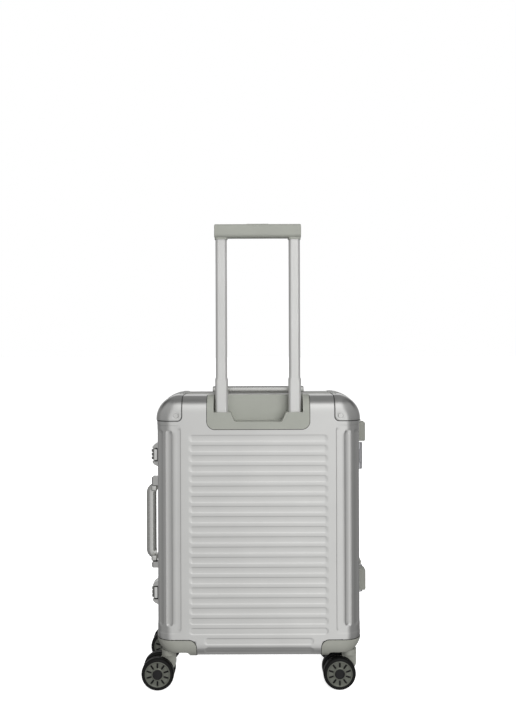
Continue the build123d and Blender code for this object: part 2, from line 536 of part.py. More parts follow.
os.makedirs("parts", exist_ok=True)
for node, shapes in build().items():
    group = shapes if isinstance(shapes, list) else [shapes]
    solids = [Pos(CASE_X, 0, 0) * solid for shape in group for solid in shape.solids()]
    export_step(Compound(solids) if len(solids) > 1 else solids[0], f"parts/{node}.step")
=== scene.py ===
"""Looks of a framed aluminium cabin case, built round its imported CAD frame. Metres, +Z up."""
import json
import math

import bmesh
import bpy
import numpy as np
from mathutils import Matrix, Vector
from mathutils.bvhtree import BVHTree


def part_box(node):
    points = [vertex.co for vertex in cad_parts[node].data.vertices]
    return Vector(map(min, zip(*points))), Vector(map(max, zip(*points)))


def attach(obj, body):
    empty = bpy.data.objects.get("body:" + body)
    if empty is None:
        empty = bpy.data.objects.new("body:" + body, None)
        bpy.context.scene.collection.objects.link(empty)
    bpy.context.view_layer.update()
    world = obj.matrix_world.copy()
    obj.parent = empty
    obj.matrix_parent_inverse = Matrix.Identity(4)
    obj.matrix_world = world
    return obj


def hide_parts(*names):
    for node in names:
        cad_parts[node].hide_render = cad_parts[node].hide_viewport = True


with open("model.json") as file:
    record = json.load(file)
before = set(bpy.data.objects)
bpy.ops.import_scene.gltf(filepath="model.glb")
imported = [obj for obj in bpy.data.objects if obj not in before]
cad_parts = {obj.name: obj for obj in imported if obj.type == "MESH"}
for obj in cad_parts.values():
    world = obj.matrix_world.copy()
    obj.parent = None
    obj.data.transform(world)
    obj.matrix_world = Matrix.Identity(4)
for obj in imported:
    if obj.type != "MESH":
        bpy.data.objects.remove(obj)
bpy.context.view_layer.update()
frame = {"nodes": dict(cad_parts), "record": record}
MM = 0.001

# ---- the case, read from the frame ----
shell_low, shell_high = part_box("front_shell")
MID_X = (shell_low.x + shell_high.x) / 2
SIDE = (shell_high.x - shell_low.x) / 2
MID_Z = (shell_low.z + shell_high.z) / 2
HALF_H = (shell_high.z - shell_low.z) / 2
DEPTH = shell_high.y
RIM = shell_low.y

# ---- shape of the pressed sheet ----
CORNER, EDGE, SHEET = 42 * MM, 28 * MM, 1.1 * MM
ARC = EDGE * math.pi / 2
REACH_S, REACH_T = SIDE - CORNER, HALF_H - CORNER
FLAT_R = CORNER - EDGE
SIDE_LONG = DEPTH - EDGE - RIM
GROOVE_H, GROOVE_PITCH, GROOVE_DEEP, GROOVE_WALL = 10.8 * MM, 18.3 * MM, 0.6 * MM, 1.4 * MM
GROOVE_TOP, GROOVE_HALF, SHORT_HALF = 463.2 * MM, 124.5 * MM, 98 * MM
GROOVES, SHORT_GROOVES = 20, 2
FLUTE_FIRST, FLUTE_PITCH, FLUTES = 161.2 * MM, 18.3 * MM, 5
FLUTE_HALF, FLUTE_DEEP, FLUTE_WALL = 5.4 * MM, 1.2 * MM, 1.6 * MM
FLUTE_LOW, FLUTE_HIGH = 119 * MM, 472 * MM
PANEL_IN, PANEL_OUT, PANEL_LOW, PANEL_HIGH, PANEL_R = 140.4 * MM, 245.6 * MM, 106 * MM, 481 * MM, 9 * MM
PANEL_DEEP, PANEL_WALL = 0.4 * MM, 0.9 * MM
GUARD_IN, GUARD_LOW, GUARD_R, GUARD_LIFT = 138 * MM, 489 * MM, 8 * MM, 1.2 * MM
GUARD_EDGE_Y = 14.4 * MM
RIVET_SPOT, RIVET_RING = (148.6 * MM, 498.5 * MM), 5.6 * MM
GUARD_SHEET = 0.5 * MM
WELL_IN, WELL_TOP, WELL_OVERLAP, WELL_LIP = 115.5 * MM, 94 * MM, 2 * MM, 2.5 * MM
POCKET_HALF, POCKET_OVERLAP, POCKET_Y = 83 * MM, 10.6 * MM, 66 * MM
# sizes of the painted gap shade strips: dark strips laid where the gaps round the housings and guards would
# be in shade
GAP_SHADE_WIDE, GAP_SHADE_LIFT, GAP_SHADE_SUNK, GAP_SHADE_TURN = 1.1 * MM, 0.35 * MM, 0.3 * MM, 14.5 * MM


# ------------------------------------------------------------------ materials
def linear(grey):
    """sRGB 0-255 to linear light."""
    v = grey / 255
    return v / 12.92 if v <= 0.04045 else ((v + 0.055) / 1.055) ** 2.4


def finish(name, rgb, rough, metal=0.0, grain=900, bump=0.05, mottle=0.06, stretch=(1, 1, 1), **sockets):
    """Procedural finish: cloudy tone, cloudy roughness and a fine grain."""
    mat = bpy.data.materials.new(name)
    mat.use_nodes = True
    nodes, links = mat.node_tree.nodes, mat.node_tree.links
    shader = nodes["Principled BSDF"]
    shader.inputs["Metallic"].default_value = metal
    for socket, value in sockets.items():
        shader.inputs[socket.replace("_", " ")].default_value = value
    place = nodes.new("ShaderNodeTexCoord")
    turn = nodes.new("ShaderNodeMapping")
    turn.inputs["Scale"].default_value = stretch
    links.new(place.outputs["Object"], turn.inputs["Vector"])

    cloud = nodes.new("ShaderNodeTexNoise")
    cloud.inputs["Scale"].default_value = 18
    cloud.inputs["Detail"].default_value = 6
    links.new(place.outputs["Object"], cloud.inputs["Vector"])
    fine = nodes.new("ShaderNodeTexNoise")
    fine.inputs["Scale"].default_value = grain
    fine.inputs["Detail"].default_value = 3
    links.new(turn.outputs["Vector"], fine.inputs["Vector"])

    tone = nodes.new("ShaderNodeValToRGB")
    base = [linear(c) for c in rgb]
    tone.color_ramp.elements[0].position, tone.color_ramp.elements[1].position = 0.3, 0.7
    tone.color_ramp.elements[0].color = [c * (1 - mottle) for c in base] + [1]
    tone.color_ramp.elements[1].color = [min(c * (1 + mottle), 1) for c in base] + [1]
    links.new(cloud.outputs["Fac"], tone.inputs["Fac"])
    links.new(tone.outputs["Color"], shader.inputs["Base Color"])

    spread = nodes.new("ShaderNodeMapRange")
    spread.inputs["To Min"].default_value = rough - 0.05
    spread.inputs["To Max"].default_value = rough + 0.05
    links.new(fine.outputs["Fac"], spread.inputs["Value"])
    links.new(spread.outputs["Result"], shader.inputs["Roughness"])

    relief = nodes.new("ShaderNodeBump")
    relief.inputs["Strength"].default_value = bump
    relief.inputs["Distance"].default_value = 0.3 * MM
    links.new(fine.outputs["Fac"], relief.inputs["Height"])
    links.new(relief.outputs["Normal"], shader.inputs["Normal"])
    return mat


def weave(name, rgb):
    """Woven cloth: two crossed wave patterns, one for each thread direction."""
    mat = finish(name, rgb, 0.85, grain=300, bump=0.2, mottle=0.15)
    nodes, links = mat.node_tree.nodes, mat.node_tree.links
    place, shader = nodes["Texture Coordinate"], nodes["Principled BSDF"]
    shader.inputs["Sheen Weight"].default_value = 0.3
    heights = []
    for direction in ("X", "Z"):
        wave = nodes.new("ShaderNodeTexWave")
        wave.bands_direction = direction
        wave.inputs["Scale"].default_value = 260
        wave.inputs["Distortion"].default_value = 0.6
        links.new(place.outputs["Object"], wave.inputs["Vector"])
        heights.append(wave.outputs["Fac"])
    cross = nodes.new("ShaderNodeMath")
    cross.operation = "MAXIMUM"
    links.new(heights[0], cross.inputs[0])
    links.new(heights[1], cross.inputs[1])
    links.new(cross.outputs["Value"], nodes["Bump"].inputs["Height"])
    return mat


SHEET_METAL = finish("sheet_metal", (228, 228, 226), 0.30, 1.0, grain=1400, bump=0.012, mottle=0.02)
GUARD_METAL = finish("guard_metal", (226, 226, 224), 0.30, 1.0, grain=1400, bump=0.012, mottle=0.02)
RAIL_METAL = finish("rail_metal", (196, 196, 193), 0.34, 1.0, grain=700, bump=0.06, mottle=0.03)
TUBE_METAL = finish("tube_metal", (213, 213, 211), 0.34, 0.6, grain=500, bump=0.05, mottle=0.02,
                    stretch=(1, 1, 0.02))
LATCH_METAL = finish("latch_metal", (190, 190, 188), 0.30, 1.0, grain=900, bump=0.05, mottle=0.04)
PLATE_METAL = finish("plate_metal", (238, 238, 236), 0.3, 0.7, grain=900, bump=0.03, mottle=0.03)
DIAL_METAL = finish("dial_metal", (150, 150, 147), 0.38, 1.0, grain=900, bump=0.06, mottle=0.06)
HINGE_METAL = finish("hinge_metal", (200, 200, 203), 0.34, 1.0, grain=900, bump=0.05, mottle=0.04)
RIVET_METAL = finish("rivet_metal", (224, 224, 222), 0.25, 1.0, grain=900, bump=0.03, mottle=0.04)
PIN_STEEL = finish("pin_steel", (185, 185, 185), 0.25, 1.0, grain=600, bump=0.03, mottle=0.04)
HANDLE_METAL = finish("handle_metal", (214, 214, 211), 0.28, 1.0, grain=900, bump=0.04, mottle=0.03)
HOUSING_PLASTIC = finish("housing_plastic", (158, 160, 152), 0.48, grain=1600, bump=0.16, mottle=0.03)
WELL_PLASTIC = finish("well_plastic", (154, 155, 147), 0.48, grain=1600, bump=0.16, mottle=0.03)
FORK_PLASTIC = finish("fork_plastic", (146, 147, 139), 0.45, grain=1600, bump=0.14, mottle=0.04)
FOOT_PLASTIC = finish("foot_plastic", (136, 137, 130), 0.5, grain=1600, bump=0.18, mottle=0.04)
BLACK_PLASTIC = finish("black_plastic", (30, 30, 30), 0.45, grain=1600, bump=0.14, mottle=0.08)
HUB_PLASTIC = finish("hub_plastic", (110, 112, 104), 0.3, 0.6, grain=1600, bump=0.1, mottle=0.06)
# black of the wheel caps, also laid on the faces inside the hub slots as painted shade
CAP_PLASTIC_AND_SLOT_SHADE = finish("cap_plastic_and_slot_shade", (8, 8, 9), 0.5, grain=1600, bump=0.06, mottle=0.06)
TYRE_RUBBER = finish("tyre_rubber", (10, 10, 9), 0.5, grain=1100, bump=0.2, mottle=0.12,
                     Specular_IOR_Level=0.3)
# black of the frame seal, also used for the painted gap shade strips round the housings and guards
SEAL_RUBBER_AND_GAP_SHADE = finish("seal_rubber_and_gap_shade", (20, 20, 20), 0.6, grain=1100, bump=0.15, mottle=0.1)
LINING_CLOTH = weave("lining_cloth", (84, 86, 90))
BINDING_CLOTH = weave("binding_cloth", (34, 35, 37))
STRAP_CLOTH = weave("strap_cloth", (46, 47, 50))


# ------------------------------------------------------------------ mesh helpers
WELD, FLAT_ANGLE, SHARP_DEGREES = 2e-6, math.radians(1), 32


def half_name(front):
    """Word that starts the names of one half."""
    return "front" if front else "back"


def grid_faces(rows, wide):
    """Quads of a grid of points, stored row by row."""
    return [(j * wide + i, j * wide + i + 1, (j + 1) * wide + i + 1, (j + 1) * wide + i)
            for j in range(rows - 1) for i in range(wide - 1)]


def add_piece(name, verts, faces, mat, smooth_angle=40):
    """Mesh object from points and faces, smooth where it bends little."""
    mesh = bpy.data.meshes.new(name)
    mesh.from_pydata([tuple(v) for v in verts], [], faces)
    mesh.materials.append(mat)
    mesh.validate()
    return dress(name, mesh, smooth_angle)


def dress(name, mesh, smooth_angle=40):
    """Object for a mesh, with outward normals and smooth shading."""
    work = bmesh.new()
    work.from_mesh(mesh)
    bmesh.ops.recalc_face_normals(work, faces=work.faces)
    work.to_mesh(mesh)
    work.free()
    mesh.shade_smooth()
    mesh.set_sharp_from_angle(angle=math.radians(smooth_angle))
    piece = bpy.data.objects.new(name, mesh)
    bpy.context.scene.collection.objects.link(piece)
    return piece


def settle(piece):
    """Apply every modifier on a piece."""
    graph = bpy.context.evaluated_depsgraph_get()
    graph.update()
    done = bpy.data.meshes.new_from_object(piece.evaluated_get(graph))
    piece.modifiers.clear()
    piece.data = done
    return piece


def seat(piece, node):
    """The piece rides with a CAD node's body and stands for the node, which is hidden."""
    body = next(b for b, nodes in frame["record"]["behaviour"]["bodies"].items() if node in nodes)
    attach(piece, body)
    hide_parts(node)
    return piece


def softened(node, width, mat):
    """Copy of a CAD node with its sharp edges rounded off, which stands for the node."""
    mesh = frame["nodes"][node].data.copy()
    mesh.materials.clear()
    mesh.materials.append(mat)
    work = bmesh.new()
    work.from_mesh(mesh)
    bmesh.ops.remove_doubles(work, verts=work.verts, dist=WELD)
    bmesh.ops.dissolve_limit(work, angle_limit=FLAT_ANGLE, verts=work.verts, edges=work.edges)
    work.to_mesh(mesh)
    work.free()
    piece = dress(node + "_finish", mesh, SHARP_DEGREES)
    bevel = piece.modifiers.new("edges", "BEVEL")
    bevel.width, bevel.segments = width, 3
    bevel.limit_method, bevel.angle_limit = "ANGLE", math.radians(SHARP_DEGREES)
    bevel.use_clamp_overlap = True
    piece.modifiers.new("normals", "WEIGHTED_NORMAL").keep_sharp = True
    return seat(settle(piece), node)


def lathe(name, profile, mat, turns):
    """Round piece about +Z from a closed profile of (radius, height) points."""
    count = len(profile)
    verts, faces = [], []
    for k in range(turns):
        c, s = math.cos(2 * math.pi * k / turns), math.sin(2 * math.pi * k / turns)
        verts += [(r * c, r * s, z) for r, z in profile]
    for k in range(turns):
        a, b = k * count, (k + 1) % turns * count
        for i in range(count):
            j = (i + 1) % count
            faces.append((a + i, b + i, b + j, a + j))
    return add_piece(name, verts, faces, mat)


def rounded_block(name, low, high, width, mat):
    """Block between two corners, with round edges."""
    work = bmesh.new()
    place = Matrix.Translation((low + high) / 2) @ Matrix.Diagonal((*(high - low), 1))
    bmesh.ops.create_cube(work, size=1, matrix=place)
    bmesh.ops.bevel(work, geom=work.edges, offset=width, segments=4, profile=0.5, affect="EDGES")
    mesh = bpy.data.meshes.new(name)
    work.to_mesh(mesh)
    work.free()
    mesh.materials.append(mat)
    return dress(name, mesh, 60)


# ------------------------------------------------------------------ skin of the case
def case_points(s, t, lift, front):
    """Points over one half's skin. s and t run along the skin from its middle; lift is out of it."""
    over_s, over_t = np.maximum(np.abs(s) - REACH_S, 0), np.maximum(np.abs(t) - REACH_T, 0)
    m = np.maximum(over_s, over_t)
    safe = np.where(m > 0, m, 1)
    phi = np.where(over_s >= over_t, over_t / safe * math.pi / 4, math.pi / 2 - over_s / safe * math.pi / 4)
    theta = np.clip((m - FLAT_R) / EDGE, 0, math.pi / 2)
    out = np.where(m <= FLAT_R, m, FLAT_R + EDGE * np.sin(theta)) + lift * np.sin(theta)
    y = -DEPTH + EDGE * (1 - np.cos(theta)) + np.maximum(m - FLAT_R - ARC, 0) - lift * np.cos(theta)
    x = np.sign(s) * (np.minimum(np.abs(s), REACH_S) + out * np.cos(phi) * (m > 0))
    z = np.sign(t) * (np.minimum(np.abs(t), REACH_T) + out * np.sin(phi) * (m > 0))
    return np.stack([MID_X + x, -y if front else y, MID_Z + z], -1)


def step(distance, wall):
    """1 well inside an outline, 0 outside, with a soft wall between."""
    f = np.clip(0.5 - distance / wall, 0, 1)
    return f * f * (3 - 2 * f)


def slot_distance(s, t, half_s, half_t):
    """Signed distance to a slot with round ends, lying along its longer way."""
    r = min(half_s, half_t)
    ds, dt = np.maximum(np.abs(s) - (half_s - r), 0), np.maximum(np.abs(t) - (half_t - r), 0)
    return np.hypot(ds, dt) - r


def rounded_distance(s, t, half_s, half_t, r):
    """Signed distance to a rectangle with round corners."""
    ds, dt = np.abs(s) - (half_s - r), np.abs(t) - (half_t - r)
    return np.hypot(np.maximum(ds, 0), np.maximum(dt, 0)) + np.minimum(np.maximum(ds, dt), 0) - r


def groove_middles():
    """(height along the skin, half length) of every groove across the face."""
    for k in range(GROOVES + SHORT_GROOVES):
        middle = GROOVE_TOP - GROOVE_H / 2 - k * GROOVE_PITCH - MID_Z
        yield middle, GROOVE_HALF if k < GROOVES else SHORT_HALF


def relief(s, t):
    """How far the pressed sheet stands out of its plain form."""
    height = np.zeros(s.shape)
    for middle, half in groove_middles():
        height -= GROOVE_DEEP * step(slot_distance(s, t - middle, half, GROOVE_H / 2), GROOVE_WALL)
    side = np.abs(s)
    middle, tall = (PANEL_LOW + PANEL_HIGH) / 2 - MID_Z, (PANEL_HIGH - PANEL_LOW) / 2
    wide = (PANEL_OUT - PANEL_IN) / 2
    panel = rounded_distance(side - (PANEL_IN + wide), t - middle, wide, tall, PANEL_R)
    height -= PANEL_DEEP * step(panel, PANEL_WALL)
    middle, tall = (FLUTE_LOW + FLUTE_HIGH) / 2 - MID_Z, (FLUTE_HIGH - FLUTE_LOW) / 2
    for k in range(FLUTES):
        flute = slot_distance(side - FLUTE_FIRST - k * FLUTE_PITCH, t - middle, FLUTE_HALF, tall)
        height -= FLUTE_DEEP * step(flute, FLUTE_WALL)
    return height


def around(middle, offsets):
    """Grid lines at both sides of a middle line."""
    return [middle + sign * d * MM for d in offsets for sign in (-1, 1)]


def tidy_lines(lines, reach, near=0.3 * MM):
    """Sorted grid lines inside the skin's reach, without near doubles."""
    kept = []
    for line in sorted(lines):
        if abs(line) <= reach and (not kept or line - kept[-1] > near):
            kept.append(line)
    return np.array(kept)


def skin_lines():
    """Grid lines of the sheet, close together where it bends."""
    reach = FLAT_R + ARC + SIDE_LONG
    across, up = [], []
    ends = np.arange(-7, 2.1, 1.1)
    for sign in (-1, 1):
        across += [sign * (half + e * MM) for half in (GROOVE_HALF, SHORT_HALF) for e in ends]
        across += [sign * d * MM for d in (0, 30, 60, 75, 83, 106, 112, 130, 138, 148)]
        across += [sign * (edge + e * MM) for edge in (PANEL_IN, PANEL_OUT) for e in (-0.6, -0.2, 0.2, 0.6)]
        for k in range(FLUTES):
            middle = FLUTE_FIRST + k * FLUTE_PITCH
            across += [sign * (middle + d * MM) for d in (-6.3, -5.8, -5, -4.5, 0, 4.5, 5, 5.8, 6.3)]
        across += [sign * (REACH_S + reach - d * MM) for d in (0, 0.8, 5, 10, 15, 20)]
    for middle, half in groove_middles():
        up += around(middle, (4.6, 5.15, 5.65, 6.2)) + [middle]
    for end, way in ((FLUTE_LOW, 1), (FLUTE_HIGH, -1), (PANEL_LOW, 1), (PANEL_HIGH, -1)):
        up += [end - MID_Z + way * d * MM for d in (-0.8, -0.2, 0.5, 1.2, 2.2, 4, 6.5, 9)]
    for sign in (-1, 1):
        up += [sign * (REACH_T + d * MM) for d in np.arange(0, reach / MM, 4.5)]
        up += [sign * (REACH_T + reach)]
    up += [t * MM - MID_Z for t in (484.5, 488, 500)] + [REACH_T + FLAT_R + ARC + 6 * MM]
    return tidy_lines(across, REACH_S + reach + 1e-6), tidy_lines(up, REACH_T + reach + 1e-6)


def thicken(piece, wall, front):
    """Give a sheet of one half its wall, inward from its outer face."""
    facing = sum(face.normal.y * face.area for face in piece.data.polygons)
    if (facing < 0) == front:
        piece.data.flip_normals()
    solid = piece.modifiers.new("wall", "SOLIDIFY")
    solid.thickness, solid.offset = wall, -1
    return settle(piece)


def sheet_shell(front):
    """Pressed shell of one half: grooved sheet with real thickness and its cut-outs."""
    half = half_name(front)
    across, up = skin_lines()
    s, t = np.meshgrid(across, up)
    points = case_points(s, t, relief(s, t), front).reshape(-1, 3)
    wide = len(across)
    well_low, well_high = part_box(half + "_wheel_housings")
    well_y = min(abs(well_low.y), abs(well_high.y)) + WELL_LIP
    pocket_low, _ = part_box("trolley_housing")
    faces = []
    for quad in grid_faces(len(up), wide):
        middle = points[list(quad)].mean(0)
        x, y, z = abs(middle[0] - MID_X), abs(middle[1]), middle[2]
        in_well = x > WELL_IN and y > well_y and z < well_high.z - WELL_OVERLAP
        in_pocket = x < POCKET_HALF and z > pocket_low.z + POCKET_OVERLAP and y > POCKET_Y
        if not in_well and (front or not in_pocket):
            faces.append(quad)
    used = sorted({v for quad in faces for v in quad})
    index = {v: n for n, v in enumerate(used)}
    faces = [[index[v] for v in quad] for quad in faces]
    piece = add_piece(half + "_shell_skin", points[used], faces, SHEET_METAL, 60)
    seat(thicken(piece, SHEET, front), half + "_shell")


def guard(name, front, hand):
    """Sheet corner over one top corner, with a soft edge and a ring pressed round its rivet."""
    reach = FLAT_R + ARC + DEPTH - EDGE - GUARD_EDGE_Y
    border = [0, 0.25, 0.5, 0.8, 1.2, 2, 3.2, 4.6, 6.2, 8]
    inner = np.arange(10, reach / MM, 1.6)
    tail = [reach / MM - d for d in (1.2, 0.8, 0.4, 0)]
    low, outer = GUARD_LOW - MID_Z, [*inner, *tail]
    across, up = [tidy_lines([start + d * MM for d in border] + [flat + d * MM for d in outer], 1, 0.2 * MM)
                  for start, flat in ((GUARD_IN, REACH_S), (low, REACH_T))]
    s, t = np.meshgrid(across, up)
    far = np.maximum(s - REACH_S, t - REACH_T) - reach
    ds, dt = GUARD_IN + GUARD_R - s, low + GUARD_R - t
    near = np.hypot(np.maximum(ds, 0), np.maximum(dt, 0)) + np.minimum(np.maximum(ds, dt), 0) - GUARD_R
    edge = np.maximum(far, near)
    lift = (GUARD_LIFT + 0.5 * MM) * step(edge + 0.45 * MM, 0.9 * MM) - 0.5 * MM
    ring = np.hypot(s - RIVET_SPOT[0], t + MID_Z - RIVET_SPOT[1]) - RIVET_RING
    lift -= 0.45 * MM * step(ring, 1.0 * MM)
    points = case_points(hand * s, t, lift, front).reshape(-1, 3)
    piece = add_piece(name, points, grid_faces(len(up), len(across)), GUARD_METAL, 60)
    seat(thicken(piece, GUARD_SHEET, front), half_name(front) + "_corner_guards")


def gap_shade_strip(name, path, front, node):
    """Painted gap shade: a dark strip along a path of (s, t) points over one half's skin, laid where the gap
    round a part would be in shade.
    """
    path = np.array(path)
    along = np.gradient(path, axis=0)
    along /= np.linalg.norm(along, axis=1)[:, None]
    side = np.stack([-along[:, 1], along[:, 0]], -1) * GAP_SHADE_WIDE / 2
    rows = []
    for shift, height in ((-1, -GAP_SHADE_SUNK), (-1, GAP_SHADE_LIFT), (1, GAP_SHADE_LIFT), (1, -GAP_SHADE_SUNK)):
        edge = path + shift * side
        rows.append(case_points(edge[:, 0], edge[:, 1], height, front))
    faces = grid_faces(len(rows), len(path))
    seat(add_piece(name, np.concatenate(rows), faces, SEAL_RUBBER_AND_GAP_SHADE, 60), node)


def bend(middle, radius, start, end, steps=10):
    """Points of an arc in degrees round a middle."""
    angles = np.radians(np.linspace(start, end, steps))
    return [(middle[0] + radius * math.cos(a), middle[1] + radius * math.sin(a)) for a in angles]


def guard_gap_shade(name, front, hand):
    """Painted gap shade along the two free edges of a corner guard."""
    reach = FLAT_R + ARC + DEPTH - EDGE - GUARD_EDGE_Y
    s0, t0 = GUARD_IN - 0.5 * MM, GUARD_LOW - MID_Z - 0.5 * MM
    r = GUARD_R + 0.5 * MM
    path = [(s0, t) for t in np.linspace(REACH_T + reach, t0 + r + MM, 60)]
    path += bend((s0 + r, t0 + r), r, 180, 270)
    path += [(s, t0) for s in np.linspace(s0 + r + MM, REACH_S + reach, 60)]
    gap_shade_strip(name, [(hand * s, t) for s, t in path], front, half_name(front) + "_corner_guards")


def pocket_gap_shade():
    """Painted gap shade round the trolley housing's flange."""
    low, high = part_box("trolley_housing")
    half, floor, r = (high.x - low.x) / 2 + 0.5 * MM, low.z - MID_Z - 0.5 * MM, GAP_SHADE_TURN
    top = REACH_T + FLAT_R + ARC + 9 * MM
    path = [(-half, t) for t in np.linspace(top, floor + r + MM, 40)]
    path += bend((r - half, floor + r), r, 180, 270) + bend((half - r, floor + r), r, 270, 360)
    path += [(half, t) for t in np.linspace(floor + r + MM, top, 40)]
    gap_shade_strip("trolley_housing_gap_shade", path, False, "trolley_housing")


def well_gap_shade(name, front, hand):
    """Painted gap shade along the top and inner edges of a wheel housing."""
    side, top, r = WELL_IN - 3.0 * MM, WELL_TOP + 0.5 * MM, GAP_SHADE_TURN
    bottom = REACH_T + FLAT_R + ARC
    drop = MID_Z - REACH_T - top
    path = [(side, -t) for t in np.linspace(bottom, REACH_T + drop + r + MM, 24)]
    path += bend((side + r, -REACH_T - drop - r), r, 180, 90)
    path += [(s, -REACH_T - drop) for s in np.linspace(side + r + MM, REACH_S, 12)]
    for m in np.linspace(drop, FLAT_R + ARC + 26 * MM, 60):
        out = m if m <= FLAT_R else FLAT_R + EDGE * math.sin(min((m - FLAT_R) / EDGE, math.pi / 2))
        phi = math.asin(min(drop / out, 1))
        ds = m if phi < math.pi / 4 else m * (math.pi / 2 - phi) * 4 / math.pi
        dt = m * phi * 4 / math.pi if phi < math.pi / 4 else m
        path.append((REACH_S + ds, -REACH_T - dt))
    gap_shade_strip(name, [(hand * s, t) for s, t in path], front, half_name(front) + "_wheel_housings")


def rim_sweep(name, profile, mat, arc_steps=14):
    """Extruded ring round the case from (out of the skin, y) points in millimetres, closed both ways."""
    rows = []
    for out, y in profile:
        radius = CORNER + out * MM
        row = []
        for quarter, (sx, sz) in enumerate(((1, 1), (-1, 1), (-1, -1), (1, -1))):
            for k in range(arc_steps + 1):
                angle = math.pi / 2 * (quarter + k / arc_steps)
                row.append((MID_X + sx * REACH_S + radius * math.cos(angle), y * MM,
                            MID_Z + sz * REACH_T + radius * math.sin(angle)))
        rows.append(row)
    count, wide = len(rows), len(rows[0])
    faces = [(a * wide + i, a * wide + (i + 1) % wide, b * wide + (i + 1) % wide, b * wide + i)
             for a, b in ((k, (k + 1) % count) for k in range(count)) for i in range(wide)]
    return add_piece(name, [p for row in rows for p in row], faces, mat, 30)


def rail(front):
    """Profile of one half's frame: lip with two fine lines, slot wall and inner flange."""
    low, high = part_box(half_name(front) + "_frame")
    rim, deep = (low.y / MM, high.y / MM) if front else (high.y / MM, low.y / MM)
    way = 1 if front else -1
    lip = 2.2
    points = [(-4.2, rim), (lip - 0.7, rim), (lip - 0.2, rim + way * 0.2), (lip, rim + way * 0.7)]
    for line in (4.2, 9.0):
        points += [(lip, rim + way * line), (lip - 0.45, rim + way * (line + 0.4)),
                   (lip - 0.45, rim + way * (line + 0.9)), (lip, rim + way * (line + 1.3))]
    return points + [(lip, deep - way * 0.6), (lip - 0.5, deep), (0.05, deep), (-4.2, deep)]


def seal():
    """Rubber strip between the two frames."""
    low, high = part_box("frame_seal")
    y_0, y_1 = low.y / MM, high.y / MM
    profile = [(-3.4, y_0), (-0.8, y_0), (-0.8, y_1 - 0.5), (-1.2, y_1), (-3.0, y_1), (-3.4, y_1 - 0.5)]
    seat(rim_sweep("frame_seal_strip", profile, SEAL_RUBBER_AND_GAP_SHADE), "frame_seal")


# ------------------------------------------------------------------ wheels
HUB_R, CAP_R, SLOTS, RIBS = 23.3 * MM, 9.2 * MM, 10, 60
SLOT_MIDDLE, SLOT_HALF_LONG, SLOT_HALF_WIDE, SLOT_DEEP = 16.3 * MM, 4.3 * MM, 1.4 * MM, 2.2 * MM
DISH_MIDDLE, DISH_HALF, DISH_DEEP = 16 * MM, 5 * MM, 0.9 * MM
RIB_MIDDLE, RIB_HALF, RIB_HIGH = 16.2 * MM, 4 * MM, 0.22 * MM
TYRE_EDGE, MOULD_HALF, MOULD_FLOOR, MOULD_DEEP = 4.4 * MM, 0.9 * MM, 0.3 * MM, 0.25 * MM
AXIS = 0.01 * MM  # radius of a profile's points on its axis


def in_slot(r, a):
    """Signed distance to the nearest slot of a hub, from radius and angle."""
    pitch = 2 * math.pi / SLOTS
    turned = (a - math.pi / 2 + pitch / 2) % pitch - pitch / 2
    along, beside = r * np.cos(turned) - SLOT_MIDDLE, r * np.sin(turned)
    return slot_distance(along, beside, SLOT_HALF_LONG, SLOT_HALF_WIDE)


def hub_mesh(wide):
    """Hub with a dished face: raised rim ring, ten slots, fine ribs between them and a seat for the cap."""
    radii = [CAP_R, 9.6 * MM, 10.2 * MM, 11 * MM, 11.9 * MM, 12.4 * MM, 14 * MM, 16 * MM, 18 * MM, 19.8 * MM,
             20.3 * MM, 20.9 * MM, 21.4 * MM, 21.8 * MM, 22.4 * MM, 22.9 * MM, 23.2 * MM, HUB_R]
    turns = 360
    angle = np.arange(turns) * 2 * math.pi / turns
    r, a = np.meshgrid(radii, angle)
    dish = DISH_DEEP * step(np.abs(r - DISH_MIDDLE) - DISH_HALF, 1.4 * MM)
    ribs = RIB_HIGH * (0.5 + 0.5 * np.cos(a * RIBS)) * step(np.abs(r - RIB_MIDDLE) - RIB_HALF, 1 * MM)
    slots = SLOT_DEEP * step(in_slot(r, a), 0.7 * MM)
    rim_round = 0.5 * MM * step(np.abs(r - HUB_R) - 0.2 * MM, 0.8 * MM)
    height = wide / 2 - dish + ribs - slots - rim_round
    points = np.stack([r * np.cos(a), r * np.sin(a), height], -1).reshape(-1, 3).tolist()
    across = len(radii)
    faces = []
    for k in range(turns):
        u, v = k * across, (k + 1) % turns * across
        faces += [(u + i, v + i, v + i + 1, u + i + 1) for i in range(across - 1)]
    back = len(points)
    for k in range(turns):
        for radius in (HUB_R, CAP_R):
            points.append((radius * math.cos(angle[k]), radius * math.sin(angle[k]), -wide / 2))
    for k in range(turns):
        u, v = k * across, (k + 1) % turns * across
        p, q = back + 2 * k, back + 2 * ((k + 1) % turns)
        faces += [(u + across - 1, v + across - 1, q, p), (p, q, q + 1, p + 1), (v, u, p + 1, q + 1)]
    return points, faces


def tyre_profile(half, radius):
    """Outline of a tyre: round shoulders and a fine mould line round the middle of the tread."""
    edge, groove = TYRE_EDGE, radius - MOULD_DEEP
    leans = [math.pi / 2 * k / 8 for k in range(9)]
    shoulder = [(radius - edge + edge * math.sin(a), half - edge + edge * math.cos(a)) for a in leans]
    mould_line = [(radius, -MOULD_HALF), (groove, -MOULD_FLOOR), (groove, MOULD_FLOOR), (radius, MOULD_HALF)]
    seat_low = [(HUB_R, -half + 0.5 * MM), (HUB_R + 0.5 * MM, -half)]
    seat_high = [(HUB_R + 0.5 * MM, half), (HUB_R, half - 0.5 * MM)]
    return [*seat_low, *[(r, -z) for r, z in shoulder], *mould_line, *shoulder[::-1], *seat_high]


def cap_profile(top):
    """Outline of a wheel's middle cap: soft edge, raised ring and a low dome."""
    return [(CAP_R - 0.05 * MM, 0), (CAP_R - 0.05 * MM, top - 0.9 * MM), (CAP_R - 0.5 * MM, top - 0.3 * MM),
            (CAP_R - 1.4 * MM, top), (CAP_R - 2.6 * MM, top), (CAP_R - 3 * MM, top - 0.3 * MM),
            (CAP_R - 5 * MM, top - 0.1 * MM), (AXIS, top), (AXIS, 0)]


